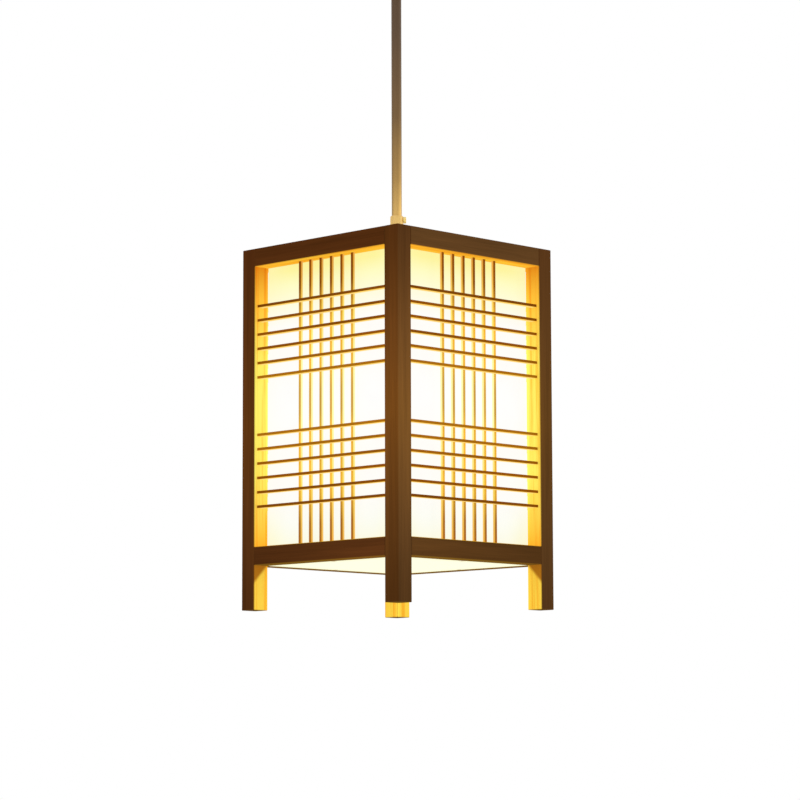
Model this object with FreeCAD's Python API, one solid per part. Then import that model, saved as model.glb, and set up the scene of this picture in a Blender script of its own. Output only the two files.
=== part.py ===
import FreeCAD, Part
import math
import os

from FreeCAD import Vector

# Square lattice pendant lantern, in millimetres, +Z up.
# The origin is the centre of the ceiling plane and everything hangs below it.
# The front face looks along -Y. The other three faces are the front turned about Z.

# Lantern frame
plan_side = 216.0
frame_height = 356.5
post_side = 18.0
rail_height = 18.0
leg_length = 43.7
arris = 0.5
tenon_width = 5.0
tenon_height = 11.0
tenon_gap = 0.5

# Lattice bars
bars_per_group = 6
bar_pitch = 14.15
group_offset = 63.8
bar_height = 2.6
bar_depth = 6.5
bar_recess = 3.5
bar_socket = 4.0
uprights_per_face = 6
upright_pitch = 14.5
upright_width = 3.0
upright_depth = 2.5

# Diffuser sheets and bottom panel
sheet_thickness = 1.0
sheet_overlap = 12.0
panel_thickness = 2.0
panel_gap = 0.3
cleat_side = 6.0
panel_screw_radius = 1.2
panel_screw_head_radius = 2.4
panel_screw_length = 6.0

# Crossbar in the open top
crossbar_width = 32.0
crossbar_thickness = 12.0
crossbar_tenon_width = 22.0
crossbar_tenon_thickness = 6.0
crossbar_tenon_length = 6.0
crossbar_round = 2.0

# Hub fittings on the crossbar
nipple_radius = 5.0
nipple_bore_radius = 3.5
nipple_engagement = 12.0
washer_radius = 11.0
washer_thickness = 1.2
locknut_flats = 15.0
locknut_height = 4.0
coupler_radius = 6.5
coupler_height = 33.3
coupler_edge = 0.6
set_screw_radius = 2.0
set_screw_head_radius = 3.2
set_screw_head_height = 2.7
set_screw_drop = 4.0

# Lampholder
holder_collar_radius = 8.0
holder_collar_height = 8.0
holder_radius = 19.0
holder_wall = 2.2
holder_cap_height = 22.0
holder_shoulder_height = 7.0
holder_skirt_height = 34.0
holder_lip = 1.2
holder_lip_height = 4.0
base_thickness = 7.0
base_gap = 0.3
shell_wall = 0.5
shell_height = 24.0
shell_clearance = 0.35
tongue_width = 6.0
tongue_thickness = 0.5
tongue_reach = 9.0
tongue_foot = 4.0
terminal_screw_radius = 1.5
terminal_screw_head_radius = 3.0
terminal_screw_head_height = 2.2
terminal_screw_offset = 9.0
terminal_screw_length = 4.0

# Bulb
bulb_radius = 30.0
bulb_neck_radius = 12.2
bulb_neck_blend = 40.0
bulb_neck_insertion = 8.0
bulb_glass_wall = 1.0
bulb_cap_radius = 13.0
bulb_cap_wall = 0.5
bulb_cap_height = 23.0
bulb_cap_bevel = 2.5
bulb_cap_skirt_gap = 5.0
bulb_insulator_height = 2.6
bulb_contact_radius = 4.6
bulb_contact_height = 1.7
bulb_stem_radius = 3.0
bulb_stem_flare = 8.0
bulb_stem_height = 30.0
filament_ring_radius = 9.0
filament_radius = 0.6
filament_lead_radius = 0.5
filament_gap_degrees = 80.0

# Suspension rod and swivel
rod_radius = 5.0
rod_bore_radius = 4.0
rod_length = 243.0
rod_insertion = 12.0
yoke_radius = 10.0
yoke_socket_depth = 8.0
yoke_web = 2.0
yoke_edge = 1.0
yoke_pivot_height = 9.0
ear_thickness = 2.7
ear_radius = 5.5
stem_radius = 5.0
stem_bore_radius = 3.5
barrel_radius = 6.0
barrel_length = 12.0
stem_flange_radius = 8.0
stem_flange_thickness = 1.6
pivot_screw_radius = 1.5
pivot_screw_head_radius = 2.75
pivot_screw_head_height = 2.0
pivot_screw_tip_gap = 0.3
swivel_nut_flats = 15.0
swivel_nut_height = 4.0

# Ceiling bracket and canopy
canopy_height = 24.5
canopy_wall = 1.0
canopy_edge_radius = 8.0
canopy_margin = 7.57
canopy_hole_gap = 1.5
canopy_swivel_gap = 2.0
strap_width = 18.0
strap_thickness = 1.6
strap_drop = 12.0
riser_run = 4.0
bushing_radius = 8.0
bushing_height = 4.0
slot_radius = 2.2
slot_length = 14.0
slot_margin = 3.94
fitting_gap = 1.0
stud_radius = 2.0
stud_edge = 4.5
stud_rise = 2.0
cap_nut_flats = 7.0
cap_nut_hex_height = 3.2
cap_nut_dome_radius = 3.1
cap_nut_depth = 4.5
ground_screw_radius = 2.0
ground_screw_head_radius = 3.4
ground_screw_head_height = 2.2
ground_screw_length = 5.0
block_width = 7.6
block_length = 17.0
block_height = 7.6
block_bore_radius = 1.5
block_screw_radius = 1.3
block_poles = 3

# Clearances shared by several joints
running_fit = 0.05
body_gap = 0.3
overrun = 1.0

# Levels worked out downwards from the ceiling
canopy_bottom = -canopy_height
pivot_z = canopy_bottom - canopy_swivel_gap - ear_radius
yoke_top = pivot_z - yoke_pivot_height
rod_top = yoke_top - yoke_web
yoke_bottom = rod_top - yoke_socket_depth
rod_bottom = rod_top - rod_length
coupler_top = rod_bottom + rod_insertion
coupler_bottom = coupler_top - coupler_height
frame_top = coupler_bottom - washer_thickness
leg_bottom = frame_top - frame_height
bottom_rail_z = leg_bottom + leg_length
bottom_rail_top = bottom_rail_z + rail_height
top_rail_z = frame_top - rail_height
opening_middle = (bottom_rail_top + top_rail_z) / 2
crossbar_z = frame_top - crossbar_thickness
locknut_z = crossbar_z - washer_thickness - locknut_height
holder_cap_z = locknut_z - holder_cap_height
holder_skirt_z = holder_cap_z - holder_skirt_height
base_z = holder_cap_z - base_thickness
bulb_rim_z = holder_skirt_z - bulb_cap_skirt_gap
bulb_cap_top = bulb_rim_z + bulb_cap_height
bulb_contact_z = bulb_cap_top + bulb_insulator_height
bulb_tip_z = bulb_contact_z + bulb_contact_height
panel_z = bottom_rail_z
cleat_z = panel_z + panel_thickness
sheet_z = cleat_z + cleat_side
sheet_top = top_rail_z + sheet_overlap

# Widths worked out from the frame
half_side = plan_side / 2
inner_half = half_side - post_side
tenon_length = (post_side - tenon_width) / 2 - tenon_gap
post_middle = half_side - post_side / 2

# Places along the ceiling strap, from its centre outwards
swivel_nut_corner = swivel_nut_flats / math.sqrt(3)
block_start = max(swivel_nut_corner, bushing_radius) + fitting_gap
block_end = block_start + block_width
block_x = (block_start + block_end) / 2
stud_x = block_end + fitting_gap + stud_radius
plate_half = stud_x + stud_edge
foot_start = plate_half + riser_run
slot_x = foot_start + slot_margin + slot_length / 2
foot_end = slot_x + slot_length / 2 + slot_margin
strap_corner = math.hypot(foot_end, strap_width / 2)
canopy_radius = strap_corner + canopy_margin + canopy_wall
plate_z = -strap_drop - strap_thickness
bushing_top = plate_z + strap_thickness + bushing_height

FACES = ("front", "right", "back", "left")
POSTS = ("front_right", "back_right", "back_left", "front_left")
QUARTER = 90.0
FULL = 360.0

nodes = {}


def box(x0, x1, y0, y1, z0, z1):
    return Part.makeBox(x1 - x0, y1 - y0, z1 - z0, Vector(x0, y0, z0))


def rod(radius, z0, z1, x=0, y=0):
    return Part.makeCylinder(radius, z1 - z0, Vector(x, y, z0))


def tube(outer, inner, z0, z1):
    return rod(outer, z0, z1).cut(rod(inner, z0 - overrun, z1 + overrun))


def level_rod(radius, start, end):
    """A round bar between two points in any direction."""
    run = end.sub(start)
    return Part.makeCylinder(radius, run.Length, start, run)


def hexagon(flats, z0, z1, x=0, y=0):
    corner = flats / math.sqrt(3)
    turns = [math.radians(60 * i) for i in range(7)]
    points = [Vector(x + corner * math.cos(a), y + corner * math.sin(a), z0) for a in turns]
    return Part.Face(Part.makePolygon(points)).extrude(Vector(0, 0, z1 - z0))


def turned(edges):
    """A solid turned about Z from the edges of a closed half section in the XZ plane."""
    face = Part.Face(Part.Wire(edges))
    solid = face.revolve(Vector(0, 0, 0), Vector(0, 0, 1), FULL)
    return solid


def line(a, b):
    return Part.LineSegment(Vector(a[0], 0, a[1]), Vector(b[0], 0, b[1])).toShape()


def arc(centre, radius, start, middle, end):
    """An arc of the half section, its three angles in radians about its centre."""
    points = [
        Vector(centre[0] + radius * math.cos(a), 0, centre[1] + radius * math.sin(a))
        for a in (start, middle, end)
    ]
    return Part.Arc(*points).toShape()


def outline(points):
    return [line(points[i], points[(i + 1) % len(points)]) for i in range(len(points))]


def around(shape, quarters):
    turned_copy = shape.copy()
    turned_copy.rotate(Vector(0, 0, 0), Vector(0, 0, 1), QUARTER * quarters)
    return turned_copy


def spread(count, pitch):
    """Places of a row of equal steps, centred on zero."""
    return [(i - (count - 1) / 2) * pitch for i in range(count)]


def eased(shape, size, edge_test):
    """Bevels the edges that the test picks."""
    return shape.makeChamfer(size, [e for e in shape.Edges if edge_test(e)])


def runs_along(edge, axis):
    a, b = edge.Vertexes[0].Point, edge.Vertexes[-1].Point
    return (b.sub(a)).normalize().cross(axis).Length < 0.001


# Frame

def rail(z0):
    """The front rail at one level, with a stub tenon at each end."""
    body = box(-inner_half, inner_half, -half_side, -inner_half, z0, z0 + rail_height)
    body = eased(body, arris, lambda e: runs_along(e, Vector(1, 0, 0)))
    middle_z = z0 + rail_height / 2
    reach = inner_half + tenon_length
    tenon = box(
        -reach, reach,
        -post_middle - tenon_width / 2, -post_middle + tenon_width / 2,
        middle_z - tenon_height / 2, middle_z + tenon_height / 2,
    )
    return body.fuse(tenon).removeSplitter()


def cross_bars():
    """Front cross bars: two groups, let into the posts at both ends."""
    reach = inner_half + bar_socket
    y0 = -half_side + bar_recess
    bars = []
    for group in (-group_offset, group_offset):
        for step in spread(bars_per_group, bar_pitch):
            z = opening_middle + group + step
            bars.append(box(-reach, reach, y0, y0 + bar_depth, z - bar_height / 2, z + bar_height / 2))
    return bars


def uprights():
    """Front upright bars, against the backs of the cross bars and let into both rails."""
    y0 = -half_side + bar_recess + bar_depth
    bars = []
    for x in spread(uprights_per_face, upright_pitch):
        bars.append(
            box(
                x - upright_width / 2, x + upright_width / 2,
                y0, y0 + upright_depth,
                bottom_rail_top - bar_socket, top_rail_z + bar_socket,
            )
        )
    return bars


def crossbar():
    """The bar across the open top, tenoned into the front and back rails, with the nipple's hole."""
    half = crossbar_width / 2
    bar = box(-half, half, -inner_half, inner_half, crossbar_z, frame_top)
    bar = eased(bar, crossbar_round, lambda e: runs_along(e, Vector(0, 1, 0)))
    reach = inner_half + crossbar_tenon_length
    middle_z = crossbar_z + crossbar_thickness / 2
    tenon = box(
        -crossbar_tenon_width / 2, crossbar_tenon_width / 2, -reach, reach,
        middle_z - crossbar_tenon_thickness / 2, middle_z + crossbar_tenon_thickness / 2,
    )
    hole = rod(nipple_radius + body_gap, crossbar_z - overrun, frame_top + overrun)
    return bar.fuse(tenon).removeSplitter().cut(hole)


def post():
    """The front right post, from the leg's foot to the top."""
    body = box(inner_half, half_side, -half_side, -inner_half, leg_bottom, frame_top)
    return eased(body, arris, lambda e: True)


def build_frame():
    top, bottom = rail(top_rail_z), rail(bottom_rail_z)
    bars, bar_uprights, bridge = cross_bars(), uprights(), crossbar()
    top = top.cut(Part.makeCompound(bar_uprights))
    bottom = bottom.cut(Part.makeCompound(bar_uprights))
    for k, face in enumerate(FACES):
        nodes["top_rail_" + face] = around(top.cut(bridge) if k % 2 == 0 else top, k)
        nodes["bottom_rail_" + face] = around(bottom, k)
        nodes["cross_bars_" + face] = around(Part.makeCompound(bars), k)
        nodes["upright_bars_" + face] = around(Part.makeCompound(bar_uprights), k)
    seats = [top, bottom] + bars
    seats += [around(s, 1) for s in seats]
    corner = post().cut(Part.makeCompound(seats))
    for k, name in enumerate(POSTS):
        nodes["post_" + name] = around(corner, k)
    nodes["crossbar"] = bridge


# Diffuser

def build_diffuser():
    notch_half = crossbar_width / 2 + body_gap
    sheet = box(-inner_half, inner_half - sheet_thickness, -inner_half, -inner_half + sheet_thickness,
                sheet_z, sheet_top)
    notch = box(-notch_half, notch_half, -half_side, -inner_half + sheet_thickness + overrun,
                crossbar_z - body_gap, frame_top)
    cleat = box(-inner_half, inner_half - cleat_side, -inner_half, -inner_half + cleat_side,
                cleat_z, cleat_z + cleat_side)
    screw_y = -inner_half + cleat_side / 2
    pilot = rod(panel_screw_radius + running_fit, cleat_z - overrun, cleat_z + cleat_side - overrun, 0, screw_y)
    cleat = cleat.cut(pilot)
    half = inner_half - panel_gap
    panel = box(-half, half, -half, half, panel_z, panel_z + panel_thickness)
    sink = Part.makeCone(
        panel_screw_head_radius + running_fit, panel_screw_radius + running_fit,
        panel_screw_head_radius - panel_screw_radius, Vector(0, screw_y, panel_z),
    )
    clear = rod(panel_screw_radius + running_fit, panel_z - overrun, cleat_z + overrun, 0, screw_y)
    head = Part.makeCone(
        panel_screw_head_radius, panel_screw_radius,
        panel_screw_head_radius - panel_screw_radius, Vector(0, screw_y, panel_z),
    )
    screw = head.fuse(rod(panel_screw_radius, panel_z, panel_z + panel_screw_length, 0, screw_y))
    cleats, screws = [], []
    for k, face in enumerate(FACES):
        shaped = sheet.cut(notch) if k % 2 == 0 else sheet
        nodes["diffuser_" + face] = around(shaped, k)
        cleats.append(around(cleat, k))
        screws.append(around(screw.removeSplitter(), k))
        panel = panel.cut(around(sink.fuse(clear), k))
    nodes["panel_cleats"] = Part.makeCompound(cleats)
    nodes["panel_screws"] = Part.makeCompound(screws)
    nodes["bottom_panel"] = panel


# Hub on the crossbar

def build_hub():
    nipple_top = coupler_bottom + nipple_engagement
    nipple_low = locknut_z - holder_collar_height
    nodes["threaded_nipple"] = tube(nipple_radius, nipple_bore_radius, nipple_low, nipple_top)
    bore = nipple_radius + running_fit
    nodes["hub_washers"] = Part.makeCompound([
        tube(washer_radius, bore, frame_top, frame_top + washer_thickness),
        tube(washer_radius, bore, crossbar_z - washer_thickness, crossbar_z),
    ])
    nut = hexagon(locknut_flats, locknut_z, locknut_z + locknut_height)
    nodes["hub_locknut"] = nut.cut(rod(bore, locknut_z - overrun, locknut_z + locknut_height + overrun))
    coupler = tube(coupler_radius, max(nipple_radius, rod_radius) + running_fit, coupler_bottom, coupler_top)
    rims = [e for e in coupler.Edges if e.Length > math.tau * (coupler_radius - running_fit)]
    coupler = coupler.makeChamfer(coupler_edge, [e for e in rims if len(e.Vertexes) == 1])
    aim = Vector(1, 1, 0).normalize()
    level = Vector(0, 0, coupler_top - set_screw_drop)
    tip = aim * (rod_radius + running_fit) + level
    seat = aim * (coupler_radius + running_fit) + level
    end = aim * (coupler_radius + running_fit + set_screw_head_height) + level
    screw = level_rod(set_screw_radius, tip, end).fuse(level_rod(set_screw_head_radius, seat, end))
    hole = level_rod(set_screw_radius + running_fit, level, end)
    nodes["coupler_set_screw"] = screw.removeSplitter()
    nodes["rod_coupler"] = coupler.cut(hole)


# Lampholder

def build_holder():
    top, low = locknut_z, holder_cap_z
    inner = holder_radius - holder_wall
    slope_top = top - holder_collar_height
    slope_low = slope_top - holder_shoulder_height
    nodes["holder_cap"] = turned(outline([
        (nipple_radius + running_fit, top), (holder_collar_radius, top),
        (holder_collar_radius, slope_top), (holder_radius, slope_low), (holder_radius, low),
        (inner, low), (inner, slope_low - holder_wall / 2),
        (holder_collar_radius, slope_top - holder_wall), (nipple_radius + running_fit, slope_top - holder_wall),
    ]))
    lip_top = holder_skirt_z + holder_lip_height
    nodes["holder_skirt"] = turned(outline([
        (inner, low), (holder_radius, low), (holder_radius, lip_top),
        (holder_radius + holder_lip, lip_top - holder_lip), (holder_radius + holder_lip, holder_skirt_z),
        (inner, holder_skirt_z),
    ]))
    base = rod(inner - base_gap, base_z, low)
    shell_inner = bulb_cap_radius + shell_clearance
    shell_outer = shell_inner + shell_wall
    nodes["screw_shell"] = tube(shell_outer, shell_inner, base_z - shell_height, base_z)
    screws = []
    for x in (-terminal_screw_offset, terminal_screw_offset):
        head_top = low + terminal_screw_head_height
        screw = rod(terminal_screw_radius, low - terminal_screw_length, low, x)
        screw = screw.fuse(rod(terminal_screw_head_radius, low, head_top, x))
        screws.append(screw.removeSplitter())
        base = base.cut(rod(terminal_screw_radius + running_fit, low - terminal_screw_length, low + overrun, x))
    nodes["holder_terminal_screws"] = Part.makeCompound(screws)
    nodes["holder_base"] = base
    tip = bulb_tip_z + body_gap
    points = [
        (-tongue_reach, base_z), (-tongue_reach, base_z - tongue_thickness),
        (-tongue_foot, base_z - tongue_thickness), (-tongue_foot / 2, tip),
        (tongue_foot, tip), (tongue_foot, tip + tongue_thickness),
        (-tongue_foot / 2 + tongue_thickness, tip + tongue_thickness),
        (-tongue_foot + tongue_thickness, base_z),
    ]
    strip = Part.Face(Part.Wire(outline(points))).extrude(Vector(0, tongue_width, 0))
    strip.translate(Vector(0, -tongue_width / 2, 0))
    nodes["centre_contact"] = strip


# Bulb

def bulb_section(radius, neck, blend, centre_z, neck_top):
    """Edges from the bulb's lowest point, round the globe and up the neck, and the two end points."""
    rise = math.sqrt((bulb_radius + bulb_neck_blend) ** 2 - (bulb_neck_radius + bulb_neck_blend) ** 2)
    meet = math.atan2(rise, bulb_neck_radius + bulb_neck_blend)
    down = -math.pi / 2
    globe = arc((0, centre_z), radius, down, (down + meet) / 2, meet)
    blend_centre = (bulb_neck_radius + bulb_neck_blend, centre_z + rise)
    hollow = arc(blend_centre, blend, math.pi + meet, math.pi + meet / 2, math.pi)
    side = line((neck, centre_z + rise), (neck, neck_top))
    return [globe, hollow, side], (0, centre_z - radius), (neck, neck_top)


def build_bulb():
    rise = math.sqrt((bulb_radius + bulb_neck_blend) ** 2 - (bulb_neck_radius + bulb_neck_blend) ** 2)
    centre_z = bulb_rim_z - rise
    neck_top = bulb_rim_z + bulb_neck_insertion
    wall = bulb_glass_wall
    outer, low, top = bulb_section(bulb_radius, bulb_neck_radius, bulb_neck_blend, centre_z, neck_top)
    inner, inner_low, inner_top = bulb_section(
        bulb_radius - wall, bulb_neck_radius - wall, bulb_neck_blend + wall, centre_z, neck_top)
    nodes["bulb_glass"] = turned(outer + [line(top, inner_top)] + inner[::-1] + [line(inner_low, low)])
    radius, thick = bulb_cap_radius, bulb_cap_wall
    mouth = radius - bulb_cap_bevel
    nodes["bulb_cap"] = turned(outline([
        (radius - thick, bulb_rim_z), (radius, bulb_rim_z), (radius, bulb_cap_top - bulb_cap_bevel),
        (mouth, bulb_cap_top), (mouth - thick, bulb_cap_top), (radius - thick, bulb_cap_top - bulb_cap_bevel - thick),
    ]))
    plug = mouth - thick
    nodes["bulb_insulator"] = turned(outline([
        (0, bulb_cap_top - thick), (plug, bulb_cap_top - thick), (plug, bulb_cap_top),
        (bulb_contact_radius, bulb_contact_z), (0, bulb_contact_z),
    ]))
    dome = (bulb_contact_radius ** 2 + bulb_contact_height ** 2) / (2 * bulb_contact_height)
    dome_z = bulb_tip_z - dome
    edge_turn = math.asin((bulb_contact_z - dome_z) / dome)
    crown = math.pi / 2
    nodes["bulb_contact"] = turned([
        arc((0, dome_z), dome, edge_turn, (edge_turn + crown) / 2, crown),
        line((0, bulb_tip_z), (0, bulb_contact_z)),
        line((0, bulb_contact_z), (bulb_contact_radius, bulb_contact_z)),
    ])
    stem_low = neck_top - bulb_stem_height
    nodes["bulb_stem"] = turned(outline([
        (0, neck_top), (bulb_neck_radius - wall, neck_top), (bulb_neck_radius - wall, neck_top - wall),
        (bulb_stem_radius, neck_top - bulb_stem_flare), (bulb_stem_radius, stem_low), (0, stem_low),
    ]))
    build_filament(centre_z, stem_low)


def build_filament(centre_z, stem_low):
    """An open ring of filament on two leads that rise to the glass stem."""
    sweep = FULL - filament_gap_degrees
    ring = Part.makeTorus(
        filament_ring_radius, filament_radius, Vector(0, 0, centre_z), Vector(0, 0, 1), 0, FULL, sweep)
    pieces = [ring]
    for degrees in (0, sweep):
        turn = math.radians(degrees)
        aim = Vector(math.cos(turn), math.sin(turn), 0)
        end = aim * filament_ring_radius + Vector(0, 0, centre_z)
        root = aim * (bulb_stem_radius - filament_lead_radius) + Vector(0, 0, stem_low)
        pieces.append(level_rod(filament_lead_radius, end, root))
    nodes["bulb_filament"] = pieces[0].fuse(pieces[1:])


# Rod and swivel

def build_suspension():
    nodes["suspension_rod"] = tube(rod_radius, rod_bore_radius, rod_bottom, rod_top)
    ear_inner = barrel_length / 2 + body_gap
    ear_outer = ear_inner + ear_thickness
    base = rod(yoke_radius, yoke_bottom, yoke_top)
    base = eased(base, yoke_edge, lambda e: len(e.Vertexes) == 1)
    yoke = base
    for side in (-1, 1):
        x0, x1 = sorted((side * ear_inner, side * ear_outer))
        ear = box(x0, x1, -ear_radius, ear_radius, yoke_top - yoke_edge, pivot_z)
        crown = level_rod(ear_radius, Vector(x0, 0, pivot_z), Vector(x1, 0, pivot_z))
        yoke = yoke.fuse(ear.fuse(crown))
    yoke = yoke.cut(rod(rod_radius + running_fit, yoke_bottom - overrun, rod_top))
    yoke = yoke.cut(rod(rod_bore_radius, rod_top - overrun, yoke_top + overrun))
    reach = ear_outer + overrun
    yoke = yoke.cut(level_rod(pivot_screw_radius + running_fit, Vector(-reach, 0, pivot_z), Vector(reach, 0, pivot_z)))
    nodes["swivel_yoke"] = yoke.removeSplitter()
    stem_top = bushing_top + body_gap + swivel_nut_height
    stem = rod(stem_radius, pivot_z, stem_top)
    half = barrel_length / 2
    stem = stem.fuse(level_rod(barrel_radius, Vector(-half, 0, pivot_z), Vector(half, 0, pivot_z)))
    flange_top = plate_z - body_gap
    stem = stem.fuse(rod(stem_flange_radius, flange_top - stem_flange_thickness, flange_top))
    stem = stem.cut(rod(stem_bore_radius, pivot_z - barrel_radius - overrun, stem_top + overrun))
    stem = stem.cut(level_rod(pivot_screw_radius + running_fit, Vector(-reach, 0, pivot_z), Vector(reach, 0, pivot_z)))
    nodes["swivel_stem"] = stem.removeSplitter()
    screws = []
    for side in (-1, 1):
        tip = Vector(side * (stem_bore_radius + pivot_screw_tip_gap), 0, pivot_z)
        seat = Vector(side * ear_outer, 0, pivot_z)
        end = Vector(side * (ear_outer + pivot_screw_head_height), 0, pivot_z)
        screw = level_rod(pivot_screw_radius, tip, end).fuse(level_rod(pivot_screw_head_radius, seat, end))
        screws.append(screw.removeSplitter())
    nodes["pivot_screws"] = Part.makeCompound(screws)
    nut_z = bushing_top + body_gap
    nut = hexagon(swivel_nut_flats, nut_z, nut_z + swivel_nut_height)
    nodes["swivel_nut"] = nut.cut(rod(stem_radius + running_fit, nut_z - overrun, nut_z + swivel_nut_height + overrun))


# Ceiling bracket, canopy and what they carry

def build_bracket():
    half_width = strap_width / 2
    plate_top = plate_z + strap_thickness
    right = [
        (foot_end, 0), (foot_start, 0), (plate_half, plate_top), (0, plate_top),
        (0, plate_z), (plate_half + strap_thickness / 2, plate_z),
        (foot_start + strap_thickness / 2, -strap_thickness), (foot_end, -strap_thickness),
    ]
    side = Part.Face(Part.Wire(outline(right))).extrude(Vector(0, strap_width, 0))
    side.translate(Vector(0, -half_width, 0))
    slot = box(slot_x - slot_length / 2 + slot_radius, slot_x + slot_length / 2 - slot_radius,
               -slot_radius, slot_radius, -strap_thickness - overrun, overrun)
    for x in (slot_x - slot_length / 2 + slot_radius, slot_x + slot_length / 2 - slot_radius):
        slot = slot.fuse(rod(slot_radius, -strap_thickness - overrun, overrun, x))
    side = side.cut(slot.removeSplitter())
    side = side.cut(rod(stud_radius + running_fit, plate_z - overrun, plate_top + overrun, stud_x))
    strap = side.fuse(around(side, 2)).removeSplitter()
    strap = strap.fuse(rod(bushing_radius, plate_z, bushing_top)).removeSplitter()
    strap = strap.cut(rod(stem_radius + running_fit, plate_z - overrun, bushing_top + overrun))
    strap = strap.cut(rod(ground_screw_radius + running_fit, plate_z - overrun, plate_top + overrun, -block_x))
    nodes["ceiling_bracket"] = strap


def build_canopy():
    hole = stem_radius + canopy_hole_gap
    flat = canopy_radius - canopy_edge_radius
    edge_z = canopy_bottom + canopy_edge_radius
    inner_edge = canopy_edge_radius - canopy_wall
    inner_radius = canopy_radius - canopy_wall
    quarter = math.pi / 2
    dish = turned([
        line((hole, canopy_bottom), (flat, canopy_bottom)),
        arc((flat, edge_z), canopy_edge_radius, -quarter, -quarter / 2, 0),
        line((canopy_radius, edge_z), (canopy_radius, 0)),
        line((canopy_radius, 0), (inner_radius, 0)),
        line((inner_radius, 0), (inner_radius, edge_z)),
        arc((flat, edge_z), inner_edge, 0, -quarter / 2, -quarter),
        line((flat, canopy_bottom + canopy_wall), (hole, canopy_bottom + canopy_wall)),
        line((hole, canopy_bottom + canopy_wall), (hole, canopy_bottom)),
    ])
    studs, nuts = [], []
    stud_top = plate_z + strap_thickness + stud_rise
    stud_low = canopy_bottom - cap_nut_depth
    for x in (-stud_x, stud_x):
        dish = dish.cut(rod(stud_radius + body_gap, canopy_bottom - overrun, canopy_bottom + canopy_wall + overrun, x))
        studs.append(rod(stud_radius, stud_low, stud_top, x))
        nut_low = canopy_bottom - cap_nut_hex_height
        nut = hexagon(cap_nut_flats, nut_low, canopy_bottom, x)
        nut = nut.fuse(Part.makeSphere(cap_nut_dome_radius, Vector(x, 0, nut_low)).common(
            rod(cap_nut_flats, nut_low - cap_nut_flats, nut_low, x)))
        nuts.append(nut.cut(rod(stud_radius + running_fit, stud_low, canopy_bottom + overrun, x)))
    nodes["canopy"] = dish
    nodes["canopy_studs"] = Part.makeCompound(studs)
    nodes["canopy_cap_nuts"] = Part.makeCompound(nuts)


def build_wiring_points():
    plate_top = plate_z + strap_thickness
    head = rod(ground_screw_head_radius, plate_top, plate_top + ground_screw_head_height, -block_x)
    shank = rod(ground_screw_radius, plate_top - ground_screw_length, plate_top, -block_x)
    nodes["ground_screw"] = head.fuse(shank).removeSplitter()
    half = block_length / 2
    block = box(block_start, block_end, -half, half, plate_top, plate_top + block_height)
    screws = []
    block_top = plate_top + block_height
    bore_z = plate_top + block_height / 3
    for y in spread(block_poles, block_length / block_poles):
        block = block.cut(level_rod(
            block_bore_radius, Vector(block_start - overrun, y, bore_z), Vector(block_end + overrun, y, bore_z)))
        block = block.cut(rod(block_screw_radius + running_fit, bore_z, block_top + overrun, block_x, y))
        screws.append(rod(block_screw_radius, bore_z + block_bore_radius / 2, block_top, block_x, y))
    nodes["terminal_block"] = block
    nodes["terminal_block_screws"] = Part.makeCompound(screws)


build_frame()
build_diffuser()
build_hub()
build_holder()
build_bulb()
build_suspension()
build_bracket()
build_canopy()
build_wiring_points()

os.makedirs("parts", exist_ok=True)
for name, shape in sorted(nodes.items()):
    shape.exportStep("parts/" + name + ".step")
    sound = shape.isValid() and all(s.Volume > 0 for s in shape.Solids)
    print(name, len(shape.Solids), "solids", round(shape.Volume), "mm3", "sound" if sound else "UNSOUND")
print(len(nodes), "nodes; bolt slots", round(2 * slot_x, 3), "apart; canopy radius", round(canopy_radius, 3))
print("frame top", round(frame_top, 3), "legs end", round(leg_bottom, 3), "pivot", round(pivot_z, 3))
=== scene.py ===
"""Square lattice pendant lantern: finishes, fastener detail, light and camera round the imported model."""

import math

import bmesh
import bpy
from bpy.props import FloatProperty, FloatVectorProperty, IntProperty, PointerProperty
from mathutils import Matrix, Vector


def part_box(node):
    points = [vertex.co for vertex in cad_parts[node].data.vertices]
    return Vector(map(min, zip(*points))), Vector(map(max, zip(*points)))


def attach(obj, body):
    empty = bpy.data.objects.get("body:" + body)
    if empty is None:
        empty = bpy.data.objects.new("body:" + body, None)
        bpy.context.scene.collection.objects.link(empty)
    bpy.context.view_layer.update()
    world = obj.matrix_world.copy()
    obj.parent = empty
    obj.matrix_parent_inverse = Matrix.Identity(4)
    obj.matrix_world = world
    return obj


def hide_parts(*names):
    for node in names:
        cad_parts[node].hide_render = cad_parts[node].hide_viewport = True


bl_info = {
    "name": "Lattice pendant lantern",
    "version": (1, 0, 0),
    "blender": (4, 5, 0),
    "location": "3D View > Sidebar > Lantern",
    "description": "Gives the packed lantern its wood, light and metal finishes",
    "category": "Object",
}

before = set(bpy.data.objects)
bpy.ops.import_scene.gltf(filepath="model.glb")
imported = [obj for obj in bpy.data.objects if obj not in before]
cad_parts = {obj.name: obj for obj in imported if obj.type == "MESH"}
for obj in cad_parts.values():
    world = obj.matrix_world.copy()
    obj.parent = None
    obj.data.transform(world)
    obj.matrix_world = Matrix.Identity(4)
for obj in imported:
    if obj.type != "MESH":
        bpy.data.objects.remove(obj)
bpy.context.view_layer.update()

FACES = ("front", "right", "back", "left")
POSTS = ("post_front_right", "post_back_right", "post_back_left", "post_front_left")
POST_LOW, POST_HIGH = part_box("post_front_right")
RAIL_LOW, RAIL_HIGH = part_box("top_rail_front")
SILL_LOW, SILL_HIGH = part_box("bottom_rail_front")
MIDDLE = (RAIL_LOW.z + SILL_HIGH.z) / 2

BLACK = (0, 0, 0)
WHITE = (1, 1, 1)
LIT_PAINT = 0.6
STREAK_SHARE = 0.75
STREAK_EDGE = (-0.05, 0.2)
FACING = (0.5, 0.9)
UPRIGHT_GLOW = 0.25
CROSS_BAR_GLOW = 0.55
# Shares of painted lamplight on every downward face of the posts and rails.
POST_UNDERSIDE_GLOW = 0.05
RAIL_UNDERSIDE_GLOW = 0.14
# Share of the painted corner light on the rails.
RAIL_CORNER_LIGHT = 0.8
# Painted light: the posts' lit faces are up to this share lighter beside their inner edge, next to the
# glowing sheets.
INNER_EDGE_LIGHT = 0.25

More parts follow.
